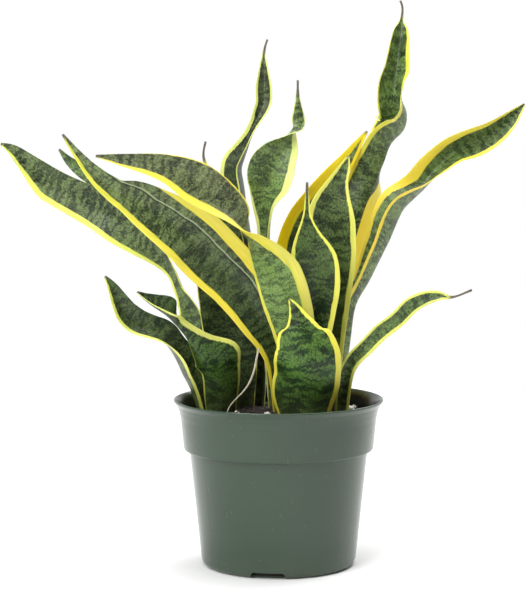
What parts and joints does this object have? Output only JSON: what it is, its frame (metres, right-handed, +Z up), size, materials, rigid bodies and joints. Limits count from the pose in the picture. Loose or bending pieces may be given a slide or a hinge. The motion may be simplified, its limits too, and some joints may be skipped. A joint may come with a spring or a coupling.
{
  "type": "potted snake plant",
  "caption": "Variegated snake plant with yellow-edged, twisting leaves, growing in a plain dark green nursery pot.",
  "frame": {"origin": "centre of the pot's underside, on the surface that it stands on", "axes": "+Z up along the pot's axis, -Y towards the plant's front, +X to the right seen from the front"},
  "size_m": [0.4251, 0.1889, 0.4472],
  "materials": {
    "pot_plastic": "smooth moulded green plastic with a soft gloss",
    "leaf_skin": "waxy living leaf, dark green with grey-green cross bands and yellow margins",
    "potting_mix": "moist dark peat and bark crumbs",
    "perlite": "rough white expanded grains",
    "dry_fibre": "dry pale plant fibre"
  },
  "bodies": {
    "root": {"pot": "pot_plastic", "soil": "potting_mix", "leaf_front_short": "leaf_skin", "leaf_big_diagonal": "leaf_skin", "leaf_half_twist": "leaf_skin", "leaf_far_left": "leaf_skin", "leaf_left_hidden": "leaf_skin", "leaf_left_upright": "leaf_skin", "leaf_low_left": "leaf_skin", "leaf_low_far_left": "leaf_skin", "leaf_upper_left": "leaf_skin", "leaf_upper_middle": "leaf_skin", "leaf_tallest": "leaf_skin", "leaf_right_behind": "leaf_skin", "leaf_right_broad": "leaf_skin", "leaf_front_pointed": "leaf_skin", "leaf_right_long": "leaf_skin", "leaf_low_right": "leaf_skin", "dried_fibre": "dry_fibre", "perlite_1": "perlite", "perlite_2": "perlite", "perlite_3": "perlite", "perlite_4": "perlite", "perlite_5": "perlite", "perlite_6": "perlite"}
  },
  "joints": []
}
